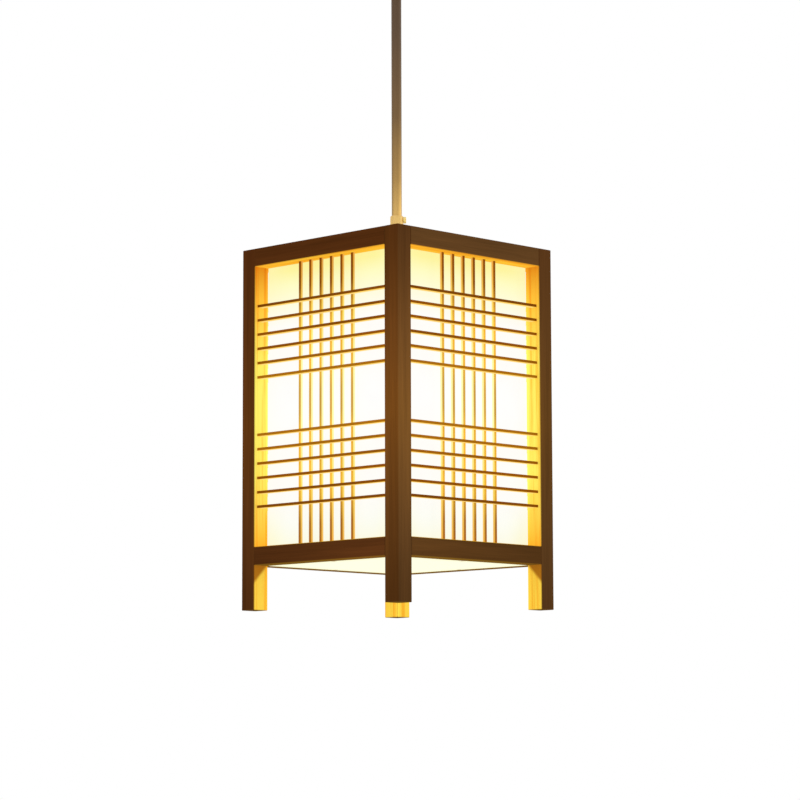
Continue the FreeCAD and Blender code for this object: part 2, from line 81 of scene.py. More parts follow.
# Marks to the metre: along the grain, and along X, Y and Z.
STREAKS_ALONG = 5
FIBRES_ALONG = 22
SHEET_FIBRES = (900, 900, 700)
SPECKS = (2400, 2400, 2400)

# Distances over which a look changes, in metres.
# NEAR_CORNER: over x minus y, where the painted light near the front right corner fades in.
NEAR_CORNER = (0.02, 0.2)
SHEET_SIDES = (0.055, 0.09)
SHEET_ENDS = (0.085, 0.14)
PANEL_RIM = (0.07, 0.09)
BULB_NECK = 0.03
SHADOW_EDGE = (-0.004, 0.002)
INNER_EDGE = 0.005

# Heights over which a look changes, as shares of the posts' height.
# Height at which the painted light near the front right corner is brightest on the posts.
BRIGHT_HEIGHT = 0.54
RAIL_HEIGHTS = (0.2, 0.9)

HEX_SLOPE = math.tan(math.radians(30))
SMOOTH_LIMIT = math.radians(35)
RINGS_PER_TURN = 8
DOME_RINGS = 8

# Shares of a screw's or a nut's own sizes.
HEX_END_SHARE = 0.48
RIM_SHARE = 0.12
CORE_SHARE = 0.8
POINT_SHARE = 0.2
CROSS_LENGTH_SHARE = 1.3
CROSS_WIDTH_SHARE = 0.8


def tone(red, green, blue):
    """A colour given in the 0 to 255 steps of a screen, as linear light."""
    steps = [v / 255 for v in (red, green, blue)]
    return tuple(v / 12.92 if v <= 0.04045 else ((v + 0.055) / 1.055) ** 2.4 for v in steps)


def colour(name, description, *steps):
    return FloatVectorProperty(
        name=name, description=description, default=tone(*steps), subtype="COLOR", size=3, min=0, max=1)


def length(name, description, metres):
    return FloatProperty(
        name=name, description=description, default=metres, subtype="DISTANCE", unit="LENGTH")


def share(name, description, value):
    return FloatProperty(
        name=name, description=description, default=value, min=0, soft_max=1, subtype="FACTOR")


def spot(name, description, *metres):
    return FloatVectorProperty(
        name=name, description=description, default=metres, subtype="TRANSLATION", unit="LENGTH", size=3)


def power(name, description, watts):
    return FloatProperty(name=name, description=description, default=watts, unit="POWER")


class WoodLook(bpy.types.PropertyGroup):
    """Stain, grain, painted lamplight and painted light and shade of the wooden pieces."""

    # Outer-face stain of the posts, with painted light: the ramp is lighter towards half height.
    stain_and_glow_foot: colour("Stain at the feet", "Outer faces of the legs", 84, 55, 27)
    stain_and_glow_low: colour("Stain low", "Outer faces beside the bottom rails", 93, 62, 31)
    stain_and_glow_middle: colour("Stain middle", "Outer faces at half height", 104, 69, 30)
    stain_and_glow_upper: colour("Stain upper", "Outer faces beside the upper bars", 98, 64, 30)
    stain_and_glow_top: colour("Stain at the top", "Outer faces at the top of the frame", 88, 55, 26)
    # Painted shade: faces of the posts that look to the front or back are painted darker and warmer than
    # those that look to the sides.
    front_face_shade: colour("Front tint", "Warmer stain of the posts' front and back faces", 240, 212, 194)
    corner_face_shade: colour("Corner tint", "The same on the front right post", 247, 227, 198)
    # Painted light: the outer faces are lighter near the front right corner.
    painted_corner_light: share("Corner lift", "Extra lightness near the front right corner", 0.58)
    rail_low: colour("Bottom rails", "Stain of the bottom rails", 81, 52, 23)
    rail_top: colour("Top rails", "Stain of the top rails", 98, 66, 34)
    # Painted shade: faces of the rails that look to the front or back are painted darker and warmer than
    # those that look to the sides.
    low_rail_face_shade: colour("Bottom rail tint", "Warmer stain of their front and back faces", 249, 222, 217)
    top_rail_face_shade: colour("Top rail tint", "Warmer stain of their front and back faces", 225, 190, 164)
    lit_foot: colour("Lit legs", "Inner faces of the legs", 255, 213, 74)
    lit_shadow: colour("Lit legs in shadow", "Just below the bottom rails", 178, 114, 26)
    lit_low: colour("Lit posts low", "Just above the bottom rails", 254, 191, 52)
    lit_middle: colour("Lit posts middle", "At half height", 255, 242, 107)
    lit_high: colour("Lit posts high", "Beside the upper bars", 255, 200, 66)
    lit_top: colour("Lit posts at the top", "Under the top rails", 222, 142, 26)
    rail_lit: colour("Lit rails", "Rail faces towards the opening", 253, 198, 59)
    lit_streak: colour("Lit streaks", "Tint of the streaks on lit faces", 247, 200, 130)
    # Painted light: the cross bars' fronts are lighter towards half height, where the sheets behind them
    # glow brightest.
    bar_outer: colour("Outer bars", "Cross bars farthest from half height", 128, 70, 7)
    bar_stain_and_glow: colour("Bar fronts", "Cross bars between these", 147, 82, 8)
    bar_inner: colour("Inner bars", "Cross bars nearest half height", 176, 111, 16)
    bar_lit: colour("Bar edges", "Lit edges of the cross bars", 253, 204, 72)
    # Painted light: the uprights' fronts are golden where the lit sheets glow behind them, most behind the
    # cross bars, and keep the dark stain only at the top.
    upright_stain: colour("Uprights at the top", "Fronts above the cross bars", 142, 82, 16)
    upright_amber: colour("Uprights middle", "Fronts at half height", 218, 168, 70)
    upright_gold: colour("Uprights between bars", "Fronts behind the cross bars", 245, 198, 70)
    upright_low: colour("Uprights low", "Fronts below the cross bars", 174, 115, 41)
    edge_top: colour("Upright edges at the top", "Lit edges, high", 224, 162, 52)
    edge_outer: colour("Upright edges outer", "Lit edges behind the outer cross bars", 252, 224, 100)
    edge_middle: colour("Upright edges middle", "Lit edges, half height", 255, 248, 172)
    edge_foot: colour("Upright edges low", "Lit edges, low", 236, 184, 72)
    edge_glow: colour("Edges near the sheets", "Lit edges of all bars beside the sheets", 255, 251, 205)
    plain: colour("Plain wood", "Unstained cleats", 214, 170, 116)
    lit_share: share("Lit share", "Part of a lit face's brightness that it glows", 0.47)
    fibre_width: length("Fibre width", "Width of a fibre of the grain", 0.0011)
    streak_width: length("Streak width", "Width of a streak of the grain", 0.0062)


class GlowLook(bpy.types.PropertyGroup):
    """Colours of the lit sheets, panel and bulb."""

    sheet_top: colour("Sheet at the top", "Sheets just under the top rails", 254, 248, 164)
    sheet_high: colour("Sheet high", "Sheets above the upper bars", 255, 254, 198)
    sheet_middle: colour("Sheet middle", "Sheets at half height", 255, 255, 255)
    sheet_low: colour("Sheet low", "Sheets below the lower bars", 253, 255, 248)
    sheet_foot: colour("Sheet at the foot", "Sheets just above the bottom rails", 252, 255, 237)
    panel: colour("Bottom panel", "Lit bottom panel", 254, 252, 225)
    bulb: colour("Bulb", "Lit opal glass", 255, 250, 226)
    glow_share: share("Glow share", "Part of a sheet's brightness that it glows", 0.85)


class MetalLook(bpy.types.PropertyGroup):
    """Lacquer, plating and plastics, with lamplight painted on the rod, the coupler and its set screw."""

    # Painted lamplight: towards the lantern the rod is painted lighter and more golden; rod_high is its own
    # colour.
    rod_high: colour("Rod high", "Lacquer far from the lantern", 98, 77, 57)
    rod_middle: colour("Rod middle", "Lacquer half way", 121, 94, 61)
    rod_low: colour("Rod low", "Lacquer a hand above the lantern", 174, 138, 80)
    rod_foot: colour("Rod at the lantern", "Lacquer just above the coupler", 222, 182, 108)
    # Painted lamplight: the coupler and its set screw are painted pale gold, as lit from the lantern below.
    coupler: colour("Coupler", "Lacquer of the coupler", 234, 196, 122)
    set_screw: colour("Set screw", "Lacquer of the coupler's screw", 255, 226, 142)
    zinc: colour("Zinc plate", "Bracket, hub, swivel and studs", 176, 178, 180)
    brass: colour("Brass", "Lampholder's metal and panel screws", 204, 164, 84)
    ivory: colour("Lampholder", "Moulded lampholder", 236, 230, 212)
    porcelain: colour("Porcelain", "Insulating base", 240, 238, 232)
    green: colour("Ground screw", "Green dyed screw", 34, 116, 48)
    nickel: colour("Bulb cap", "Plated cap of the bulb", 190, 188, 182)
    black: colour("Bulb insulator", "Dark glass round the bulb's contact", 26, 26, 30)


class DetailSizes(bpy.types.PropertyGroup):
    """Sizes of the threads, screw heads and recesses."""

    lamp_pitch: length("Lamp thread pitch", "Pitch of the rolled lamp thread", 0.003629)
    lamp_depth: length("Lamp thread depth", "Depth of the rolled lamp thread", 0.0007)
    lamp_skirt: length("Lamp cap skirt", "Plain part round the glass neck", 0.0083)
    sheet_metal: length("Sheet metal", "Wall of the lamp cap and screw shell", 0.0005)
    stud_pitch: length("Stud thread pitch", "Pitch of the stud thread", 0.0007)
    stud_depth: length("Stud thread depth", "Depth of the stud thread", 0.00035)
    nut_bore: length("Nut bore", "Bore radius of the two large nuts", 0.00505)
    cap_nut_bore: length("Cap nut bore", "Bore radius of the cap nuts", 0.00205)
    cap_nut_hexagon: length("Cap nut hexagon", "Height of a cap nut below its dome", 0.0032)
    shell_lip: length("Shell lip", "Plain rim at each end of the screw shell", 0.001)
    panel_head: length("Panel screw head", "Head radius of a panel screw", 0.0024)
    panel_shank: length("Panel screw shank", "Shank radius of a panel screw", 0.0012)
    pivot_end: length("Pivot screw end", "Distance from a pivot screw's end to the axis", 0.00505)
    set_head: length("Set screw head", "Height of the coupler's screw head", 0.0027)
    pivot_head: length("Pivot screw head", "Height of a pivot screw's head", 0.002)
    terminal_head: length("Terminal screw head", "Height of the other screw heads", 0.0022)
    shank_share: share("Shank", "Radius of a shank, as a part of its head's", 0.55)
    slot_width: length("Slot width", "Width of a screwdriver slot", 0.0007)
    slot_depth: length("Slot depth", "Depth of a screwdriver slot", 0.0009)
    steps: IntProperty(name="Steps round", description="Points round each turned piece", default=48, min=24)


class StageLook(bpy.types.PropertyGroup):
    """Camera, floor and lights."""

    camera_place: spot("Camera place", "Where the camera stands", 2.1270, -2.1456, -0.8266)
    camera_turn: FloatVectorProperty(
        name="Camera turn", description="Heading, tilt and roll of the camera",
        default=(math.radians(44.700), math.radians(96.959), math.radians(-0.155)), subtype="EULER", size=3)
    lens: FloatProperty(name="Lens", description="Focal length", default=138.90, unit="CAMERA")
    floor_drop: length("Floor below the legs", "Height of the feet above the floor", 0.58)
    floor_colour: colour("Floor", "Plain pale floor", 244, 243, 240)
    sky_level: share("Sky level", "Light from all round", 0.86)
    floor_radius: length("Floor radius", "Radius of the floor's disc", 3.0)
    fade_start: length("Fade start", "Radius from which the floor fades", 1.2)
    fade_end: length("Fade end", "Radius at which the floor is gone", 2.9)
    key_place: spot("Side light's place", "Where the side light stands", 2.1, 2.1, -0.1)
    key_size: length("Side light's size", "Width of the side light", 1.6)
    key_power: power("Side light's power", "Power of the side light", 10)
    fill_place: spot("Fill light's place", "Where the front light stands", 0.6, -2.9, -0.1)
    fill_size: length("Fill light's size", "Width of the front light", 1.8)
    fill_power: power("Fill light's power", "Power of the front light", 6)


def math_node(operation, swapped=False):
    """A method that adds a Math node for a signal and what it is combined with."""
    def method(self, *others):
        values = (self, *others)
        values = values[::-1] if swapped else values
        return self.shader.node("ShaderNodeMath", {"operation": operation}, dict(enumerate(values)))
    return method


class Signal:
    """A shader socket that takes part in Python arithmetic."""

    __add__ = __radd__ = math_node("ADD")
    __sub__ = math_node("SUBTRACT")
    __rsub__ = math_node("SUBTRACT", swapped=True)
    __mul__ = __rmul__ = math_node("MULTIPLY")
    __gt__ = math_node("GREATER_THAN")
    __abs__ = math_node("ABSOLUTE")
    sign = math_node("SIGN")
    root = math_node("SQRT")
    larger = math_node("MAXIMUM")
    smaller = math_node("MINIMUM")

    def __init__(self, shader, socket):
        self.shader = shader
        self.socket = socket

    def between(self, low, high):
        """0 below the low value, 1 above the high one, and eased between them."""
        eased = {"interpolation_type": "SMOOTHSTEP"}
        return self.shader.node("ShaderNodeMapRange", eased, {0: self, 1: low, 2: high, 3: 0, 4: 1})


class Shader:
    """The nodes of one material or of the world."""

    def __init__(self, tree):
        self.tree = tree
        tree.nodes.clear()

    def node(self, kind, settings, sockets, output=0):
        """Adds a node: its settings first, then the values or links of its sockets."""
        made = self.tree.nodes.new(kind)
        for name, value in settings.items():
            if name == "stops":
                elements = made.color_ramp.elements
                while len(elements) < len(value):
                    elements.new(1)
                while len(elements) > len(value):
                    elements.remove(elements[-1])
                for element, (place, stop) in zip(elements, value):
                    element.position = place
                    element.color = (*stop, 1)
            else:
                setattr(made, name, value)
        for name, value in sockets.items():
            socket = made.inputs[name]
            if isinstance(value, Signal):
                self.tree.links.new(value.socket, socket)
            elif socket.type == "RGBA":
                socket.default_value = (*value[:3], 1)
            else:
                socket.default_value = value
        return Signal(self, made.outputs[output]) if made.outputs else None

    def facing(self):
        return self.node("ShaderNodeTexCoord", {}, {}, "Normal")

    def parts(self, vector):
        first = self.node("ShaderNodeSeparateXYZ", {}, {0: vector})
        return [Signal(self, s) for s in first.socket.node.outputs]

    def mix(self, amount, low, high, blend="MIX"):
        return self.node(
            "ShaderNodeMix", {"data_type": "RGBA", "blend_type": blend}, {0: amount, 6: low, 7: high}, 2)

    def shade(self, paint, amount):
        """A colour made lighter or darker by a number."""
        return self.node("ShaderNodeVectorMath", {"operation": "SCALE"}, {0: paint, 3: amount})

    def ramp(self, amount, *stops):
        return self.node("ShaderNodeValToRGB", {"stops": stops}, {0: amount})

    def noise(self, place, scales, detail=3, roughness=0.5):
        """Noise from about -0.5 to 0.5, with its own scale along each axis."""
        stretched = self.node("ShaderNodeVectorMath", {"operation": "MULTIPLY"}, {0: place, 1: scales})
        values = {"Vector": stretched, "Scale": 1, "Detail": detail, "Roughness": roughness}
        return self.node("ShaderNodeTexNoise", {}, values) - 0.5

    def bump(self, height, distance):
        return self.node("ShaderNodeBump", {}, {"Strength": 1, "Distance": distance, "Height": height})

    def surface(self, sockets):
        made = self.node("ShaderNodeBsdfPrincipled", {}, sockets)
        self.node("ShaderNodeOutputMaterial", {}, {"Surface": made})


def material(name):
    """A new material, its nodes and the place of the shaded point."""
    made = bpy.data.materials.new(name)
    made.use_nodes = True
    s = Shader(made.node_tree)
    return made, s, s.node("ShaderNodeTexCoord", {}, {}, "Object")


def dress(finish, *nodes):
    """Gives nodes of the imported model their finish."""
    for node in nodes:
        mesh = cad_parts[node].data
        mesh.materials.clear()
        mesh.materials.append(finish)


def grain(shader, place, along, look):
    """Colour streaks and fibres that run along one axis."""
    streaks = [1 / look.streak_width] * 3
    streaks[along] = STREAKS_ALONG
    fibres = [1 / look.fibre_width] * 3
    fibres[along] = FIBRES_ALONG
    return shader.noise(place, streaks, 2), shader.noise(place, fibres, 4, 0.6)


def looks_out(place, normal, corner):
    """How much a face looks away from the lantern's middle, from -1 to 1."""
    x, y = place[:2]
    out_x = normal[0] * x.sign()
    out_y = normal[1] * y.sign()
    if corner:
        return (out_x * -1).larger(out_y * -1) * -1
    wide = abs(x) > abs(y)
    return out_y + wide * (out_x - out_y)


def lamp_side(s, to_lamp, stain_and_light, lit, rough, relief, look):
    """The surface of wood with its stain, and with lamplight painted as golden colour and glow where it
    looks to the lamp.
    """
    s.surface({
        "Base Color": s.mix(to_lamp, stain_and_light, s.shade(lit, LIT_PAINT)),
        "Roughness": rough,
        "Specular IOR Level": 0,
        "Emission Color": s.mix(to_lamp, BLACK, lit),
        "Emission Strength": look.lit_share,
        "Normal": relief,
    })


def frame_wood(name, along, look, outer_colours, lits, corner):
    """Wood with a dark stain and painted light and shade outside, and painted lamplight, golden and
    glowing, on its faces towards the lamp.
    """
    finish, s, where = material(name)
    place, normal = s.parts(where), s.parts(s.facing())
    streak, fibre = grain(s, where, along, look)
    height = (place[2] - POST_LOW.z) * (1 / (POST_HIGH.z - POST_LOW.z))
    # Painted light: outer faces lighter near the front right corner, on the posts most at half height, on
    # the rails most low down.
    near = (place[0] - place[1]).between(*NEAR_CORNER)
    if corner:
        lift = near * height.between(0, BRIGHT_HEIGHT) * (1 - height.between(BRIGHT_HEIGHT, 1))
        tint = s.mix(near, look.front_face_shade, look.corner_face_shade)
    else:
        lift = near * (1 - height) * RAIL_CORNER_LIGHT
        tint = s.mix(height.between(*RAIL_HEIGHTS), look.low_rail_face_shade, look.top_rail_face_shade)
    # Painted shade: faces looking to the front or back are multiplied by a darker, warmer tint.
    stain = s.mix(abs(normal[1]), s.ramp(height, *outer_colours), tint, "MULTIPLY")
    stain_and_light = s.shade(stain, (lift * look.painted_corner_light + 1) * (streak * 0.6 + fibre * 0.5 + 1))
    lit = s.ramp(height, *lits)
    streaked = (streak + fibre * 0.4).between(*STREAK_EDGE) * STREAK_SHARE
    lit = s.mix(streaked, lit, s.mix(1, lit, look.lit_streak, "MULTIPLY"))
    if corner:
        below = SILL_LOW.z - place[2]
        away = abs(place[0]).larger(abs(place[1])) + SILL_HIGH.y
        shadow = (below > 0) * (1 - (below - away).between(*SHADOW_EDGE))
        # Painted light: lit faces lighter within INNER_EDGE of the inner edge, next to the glowing sheets.
        lift = INNER_EDGE_LIGHT - away.between(0, INNER_EDGE) * INNER_EDGE_LIGHT + 1
        lit = s.mix(shadow, s.shade(lit, lift), look.lit_shadow)
    reach = abs(place[2] - MIDDLE)
    beside_rail = (reach > RAIL_LOW.z - MIDDLE) - (reach > RAIL_HIGH.z - MIDDLE)
    inward = looks_out(place, normal, corner) * -1 - beside_rail * corner
    opening = normal[2] * (MIDDLE - place[2]).sign()
    # Painted lamplight: every downward face takes a small share of the lit colour.
    underside = normal[2] * (-POST_UNDERSIDE_GLOW if corner else -RAIL_UNDERSIDE_GLOW)
    to_lamp = inward.larger(opening).between(*FACING).larger(underside)
    relief = s.bump(fibre + streak * 0.4, distance=0.00025)
    lamp_side(s, to_lamp, stain_and_light, lit, fibre * 0.2 + 0.42, relief, look)
    return finish


def bar_wood(name, node, along, look, fronts, edges):
    """Amber stain on the lattice's wood: darker outside, with lamplight painted on every other face; the
    fronts are painted lighter towards half height, where the sheets glow brightest behind them.
    """
    low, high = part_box(node)
    finish, s, where = material(name)
    place, normal = s.parts(where), s.parts(s.facing())
    streak, fibre = grain(s, where, along, look)
    height = (place[2] - SILL_HIGH.z) * (1 / (RAIL_LOW.z - SILL_HIGH.z))
    front = s.shade(s.ramp(height, *fronts), streak * 0.7 + fibre * 0.4 + 1)
    depth = abs(place[0]).larger(abs(place[1]))
    deep = 1 - depth.between(-high.y, -low.y)
    glow = UPRIGHT_GLOW if along == 2 else CROSS_BAR_GLOW
    edge = s.mix(deep * glow, s.ramp(height, *edges), look.edge_glow)
    lit = s.shade(edge, streak * 0.3 + fibre * 0.2 + 1)
    to_lamp = 1 - looks_out(place, normal, False).between(*FACING)
    lamp_side(s, to_lamp, front, lit, fibre * 0.2 + 0.45, s.bump(fibre, distance=0.00015), look)
    return finish


def crossbar_wood(look):
    """The crossbar: dark above, golden where the lamp lights it from below."""
    finish, s, where = material("crossbar_wood")
    place, normal = s.parts(where), s.parts(s.facing())
    streak, fibre = grain(s, where, 1, look)
    low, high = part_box("crossbar")
    below = 1 - place[2].between(low.z, high.z)
    to_lamp = (normal[2] * -1).larger(below * abs(normal[0])).between(0.2, 0.9)
    stain_and_light = s.shade(look.rail_top, streak * 0.9 + fibre * 0.55 + 1)
    lit = s.shade(look.rail_lit, streak * 0.4 + fibre * 0.3 + 1)
    relief = s.bump(fibre + streak * 0.4, distance=0.00025)
    lamp_side(s, to_lamp, stain_and_light, lit, fibre * 0.2 + 0.42, relief, look)
    return finish


def plain_wood(look):
    """Pale wood of the cleats, its grain along the side that each one lies on."""
    finish, s, where = material("plain_wood")
    x, y, z = s.parts(where)
    wide = abs(x) > abs(y)
    along, across = x + wide * (y - x), y + wide * (x - y)
    turned = s.node("ShaderNodeCombineXYZ", {}, {0: along, 1: across, 2: z})
    streak, fibre = grain(s, turned, 0, look)
    paint = s.mix(streak.between(0, 0.3), look.plain, look.lit_streak)
    s.surface({
        "Base Color": s.shade(paint, fibre * 0.4 + 1),
        "Roughness": fibre * 0.2 + 0.68,
        "Normal": s.bump(fibre, distance=0.0002),
    })
    return finish


def glow_through(s, tint, fibres, rough, look):
    """The surface of a thin white sheet that shows the lamp's light."""
    s.surface({
        "Base Color": s.shade(tint, 1 - look.glow_share),
        "Roughness": rough,
        "Specular IOR Level": 0.1,
        "Emission Color": tint,
        "Emission Strength": look.glow_share,
        "Normal": s.bump(fibres, distance=0.0001),
    })


def glowing_sheet(look):
    """Translucent white sheet, lit from inside and yellower near its top and corners."""
    finish, s, where = material("diffuser_sheet")
    x, y, z = s.parts(where)
    height = (z - SILL_HIGH.z) * (1 / (RAIL_LOW.z - SILL_HIGH.z))
    edge = abs(x).smaller(abs(y)).between(*SHEET_SIDES)
    end = abs(z - MIDDLE).between(*SHEET_ENDS)
    shade = s.ramp(
        height, (0, look.sheet_foot), (0.08, look.sheet_low), (0.17, look.sheet_middle),
        (0.78, look.sheet_middle), (0.93, look.sheet_high), (0.98, look.sheet_top))
    shade = s.mix(edge * end * 0.45, shade, look.sheet_high)
    fibres = s.noise(where, SHEET_FIBRES, 5, 0.7)
    cloud = s.noise(where, (60, 60, 40), 2)
    tint = s.shade(shade, fibres * 0.05 + cloud * 0.03 + 1)
    glow_through(s, tint, fibres, 0.6, look)
    return finish


def glowing_panel(look):
    finish, s, where = material("bottom_panel_sheet")
    x, y = s.parts(where)[:2]
    edge = abs(x).larger(abs(y)).between(*PANEL_RIM)
    fibres = s.noise(where, SHEET_FIBRES, 5, 0.7)
    tint = s.shade(s.mix(edge * 0.5, look.panel, look.sheet_high), fibres * 0.05 + 1)
    glow_through(s, tint, fibres, 0.55, look)
    return finish


def glowing_bulb(look):
    finish, s, where = material("opal_glass")
    z = s.parts(where)[2]
    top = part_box("bulb_glass")[1].z
    neck = z.between(top - BULB_NECK, top)
    cloud = s.noise(where, (40, 40, 40), 2)
    tint = s.shade(s.mix(neck * 0.6, look.bulb, look.sheet_high), cloud * 0.04 + 1)
    s.surface({
        "Base Color": s.shade(tint, 0.4),
        "Roughness": 0.12,
        "Emission Color": tint,
        "Emission Strength": 0.9,
    })
    return finish


def clear_glass():
    finish, s, where = material("stem_glass")
    cloud = s.noise(where, (80, 80, 80))
    s.surface({
        "Base Color": s.shade((0.95, 0.97, 0.96), cloud * 0.06 + 1),
        "Roughness": cloud * 0.04 + 0.06,
        "Transmission Weight": 0.9,
    })
    return finish


def filament_glow(look):
    finish, s, where = material("filament_glow")
    cloud = s.noise(where, (900, 900, 900))
    s.surface({
        "Base Color": s.shade(look.brass, cloud * 0.2 + 1),
        "Metallic": 1,
        "Roughness": cloud * 0.2 + 0.4,
        "Emission Color": s.shade(tone(255, 214, 130), cloud * 0.3 + 1),
        "Emission Strength": 1,
    })
    return finish


def lacquered(s, paint, rough, specks):
    """The surface of lacquered metal."""
    s.surface({
        "Base Color": paint,
        "Metallic": 0.2,
        "Roughness": rough,
        "Specular IOR Level": 0.15,
        "Coat Weight": specks * 0.05 + 0.03,
        "Normal": s.bump(specks, distance=0.00005),
    })


def rod_lacquer(look):
    """Bronze lacquer with lamplight painted more and more towards its lower end, and a painted highlight
    and edge shade across it.
    """
    finish, s, where = material("rod_lacquer")
    z, normal = s.parts(where)[2], s.parts(s.facing())
    low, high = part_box("suspension_rod")
    height = (z - low.z) * (1 / (high.z - low.z))
    # Painted highlight and shade across the rod: lighter towards its +X +Y side, darker at both edges,
    # fading out up the rod.
    side = (normal[0] + normal[1]) * math.sqrt(0.5)
    right, left = side.between(0.86, 1), 1 - side.between(-0.92, -0.58)
    painted_sheen_and_shade = side.between(0.2, 0.7) - right * 2.4 - left * 1.7
    painted_sheen_and_shade = painted_sheen_and_shade * (1 - height.between(0, 0.8)) * 0.28
    shade = s.ramp(
        height, (0.04, look.rod_foot), (0.2, look.rod_low), (0.46, look.rod_middle), (0.8, look.rod_high))
    brushed = s.noise(where, (1400, 1400, 40))
    specks = s.noise(where, SPECKS, 2)
    paint = s.shade(shade, (painted_sheen_and_shade + 1) * (brushed * 0.25 + specks * 0.12 + 1))
    lacquered(s, paint, brushed * 0.2 + 0.42, specks)
    return finish


def lacquer(name, paint):
    finish, s, where = material(name)
    specks = s.noise(where, SPECKS, 2)
    cloud = s.noise(where, (60, 60, 60))
    lacquered(s, s.shade(paint, specks * 0.14 + cloud * 0.1 + 1), cloud * 0.15 + 0.4, specks)
    return finish


def metal(name, paint, rough, brushed_along=2):
    """Plated metal with fine marks along one axis."""
    finish, s, where = material(name)
    scales = [1600] * 3
    scales[brushed_along] = 120
    marks = s.noise(where, scales, 4, 0.6)
    cloud = s.noise(where, (90, 90, 90))
    s.surface({
        "Base Color": s.shade(paint, marks * 0.25 + cloud * 0.2 + 1),
        "Metallic": 1,
        "Roughness": marks * 0.25 + rough,
        "Normal": s.bump(marks, distance=0.00004),
    })
    return finish


def moulded(name, paint, rough):
    """Moulded plastic or glazed ceramic."""
    finish, s, where = material(name)
    cloud = s.noise(where, (70, 70, 70))
    fine = s.noise(where, (1500, 1500, 1500), 2)
    s.surface({
        "Base Color": s.shade(paint, cloud * 0.08 + fine * 0.04 + 1),
        "Roughness": fine * 0.1 + rough,
        "Normal": s.bump(fine, distance=0.00003),
    })
    return finish


def linked(name, mesh):
    """An object of the scene with the mesh that was built."""
    data = bpy.data.meshes.new(name)
    mesh.to_mesh(data)
    mesh.free()
    made = bpy.data.objects.new(name, data)
    bpy.context.scene.collection.objects.link(made)
    return made


def wrapped(name, rings, steps, closed=False):
    """A mesh through rings of points about Z, lowest first. A ring gives radius and height at each turn."""
    mesh = bmesh.new()
    rows = []
    for ring in rings:
        row = []
        for i in range(steps):
            turn = math.tau * i / steps
            radius, z = ring(turn)
            row.append(mesh.verts.new((radius * math.cos(turn), radius * math.sin(turn), z)))
        rows.append(row)
    pairs = list(zip(rows, rows[1:]))
    if closed:
        pairs.append((rows[-1], rows[0]))
    for low, high in pairs:
        for i in range(steps):
            j = (i + 1) % steps
            mesh.faces.new((low[i], low[j], high[j], high[i]))
    if not closed:
        mesh.faces.new(rows[0][::-1])
        mesh.faces.new(rows[-1])
    bmesh.ops.recalc_face_normals(mesh, faces=mesh.faces)
    return linked(name, mesh)


def level(radius, z):
    """A ring with the same radius and height all round."""
    return lambda turn: (radius, z)


def six_sided(flats, z, slope=0):
    """A ring round a hexagon across its flats, its corners raised or lowered by a slope."""
    def ring(turn):
        side = turn % (math.pi / 3) - math.pi / 6
        radius = flats / 2 / math.cos(side)
        return radius, z + slope * (radius - flats / 2)
    return ring


def thread(crest, depth, pitch, low, high, per_turn):
    """Rings that climb a rounded right-hand thread between two heights."""
    def at(z):
        def ring(turn):
            wave = 0.5 + 0.5 * math.cos(math.tau * z / pitch - turn)
            return crest - depth * wave, z
        return ring
    count = round((high - low) / pitch * per_turn)
    return [at(low + (high - low) * i / count) for i in range(count + 1)]


def smooth(piece):
    """Smooth shading with its sharp edges kept."""
    mesh = bmesh.new()
    mesh.from_mesh(piece.data)
    for face in mesh.faces:
        face.smooth = True
    for edge in mesh.edges:
        edge.smooth = len(edge.link_faces) == 2 and edge.calc_face_angle(0) < SMOOTH_LIMIT
    mesh.to_mesh(piece.data)
    mesh.free()
    return piece


def carved(piece, *cutters):
    """Cuts boxes out of a piece and applies the cut."""
    for size, middle in cutters:
        mesh = bmesh.new()
        bmesh.ops.create_cube(mesh, size=1)
        bmesh.ops.scale(mesh, vec=size, verts=mesh.verts)
        bmesh.ops.translate(mesh, vec=middle, verts=mesh.verts)
        cutter = linked("cutter", mesh)
        cut = piece.modifiers.new("cut", "BOOLEAN")
        cut.operation = "DIFFERENCE"
        cut.object = cutter
        made = piece.evaluated_get(bpy.context.evaluated_depsgraph_get())
        piece.data = bpy.data.meshes.new_from_object(made)
        piece.modifiers.clear()
        bpy.data.objects.remove(cutter)
    return piece


def placed(piece, turn=Matrix.Identity(4), move=(0, 0, 0)):
    """Turns and then moves a piece's own points, so that its object stays at the origin."""
    piece.data.transform(Matrix.Translation(Vector(move)) @ turn)
    return piece


def joined(name, pieces):
    """One piece out of several, under one name."""
    mesh = bmesh.new()
    for piece in pieces:
        mesh.from_mesh(piece.data)
        bpy.data.objects.remove(piece)
    return linked(name, mesh)


def finished(piece, finish, body, slot, *stands_for):
    """Hands a new piece over: its finish, its body and the nodes that it stands for. The slot argument is
    not used.
    """
    piece.data.materials.clear()
    piece.data.materials.append(finish)
    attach(piece, body)
    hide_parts(*stands_for)


def screw(name, radius, height, length, sizes, hexagonal=False):
    """A slotted screw: its head stands on the XY plane and its shank hangs below."""
    shank = radius * sizes.shank_share
    bevel = shank / 4
    rim = radius * RIM_SHARE
    rings = [level(shank - bevel, -length), level(shank, bevel - length), level(shank, 0)]
    if hexagonal:
        flats = radius * math.sqrt(3)
        rings += [six_sided(flats, 0), six_sided(flats, height, -HEX_SLOPE)]
        rings.append(level(flats * HEX_END_SHARE, height))
    else:
        rings += [level(radius, 0), level(radius, height - rim)]
        rings += [level(radius - rim * 0.3, height - rim * 0.3), level(radius - rim, height)]
    slot = ((4 * radius, sizes.slot_width, 2 * sizes.slot_depth), (0, 0, height))
    return smooth(carved(wrapped(name, rings, sizes.steps), slot))


